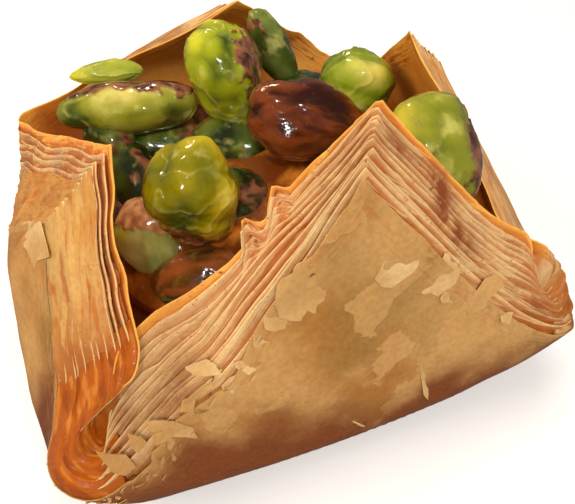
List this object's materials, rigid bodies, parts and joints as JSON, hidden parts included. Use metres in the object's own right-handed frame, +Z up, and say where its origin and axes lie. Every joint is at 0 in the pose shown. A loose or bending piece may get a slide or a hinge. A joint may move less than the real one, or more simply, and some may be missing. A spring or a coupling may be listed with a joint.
{
  "type": "baklava piece",
  "caption": "Bite-size envelope of layered filo pastry with its corners folded up over a heap of syrup-coated pistachio kernels.",
  "frame": {"origin": "Centre of the bounding box on the flat underside.", "axes": "+Z up out of the underside. The base is a square with sides along X and Y. The tallest flap, shown to the front, is at -Y, and the flap at -X is nearly as tall."},
  "size_m": [0.0439, 0.0424, 0.0268],
  "materials": {
    "filo_pastry": "Baked filo pastry soaked in syrup: waxy, golden tan, deeper orange-brown in the low corners, satin gloss.",
    "bed_kernels": "Shadowed pistachio kernels in dark amber syrup, glossy.",
    "green_kernel": "Pistachio kernel, yellow-green to deep green with shreds of brown-purple skin, coated in clear syrup.",
    "dark_kernel": "Pistachio kernel in its whole red-brown skin, wrinkled, coated in clear syrup."
  },
  "bodies": {
    "root": {"pastry_case": "filo_pastry", "kernel_bed": "bed_kernels", "kernel_knobbly": "green_kernel", "kernel_back": "green_kernel", "kernel_long": "green_kernel", "kernel_dark": "dark_kernel", "kernel_right": "green_kernel", "kernel_front": "green_kernel", "kernel_far": "green_kernel", "kernel_thin": "green_kernel", "kernel_low": "dark_kernel", "kernel_behind": "green_kernel"}
  },
  "joints": []
}
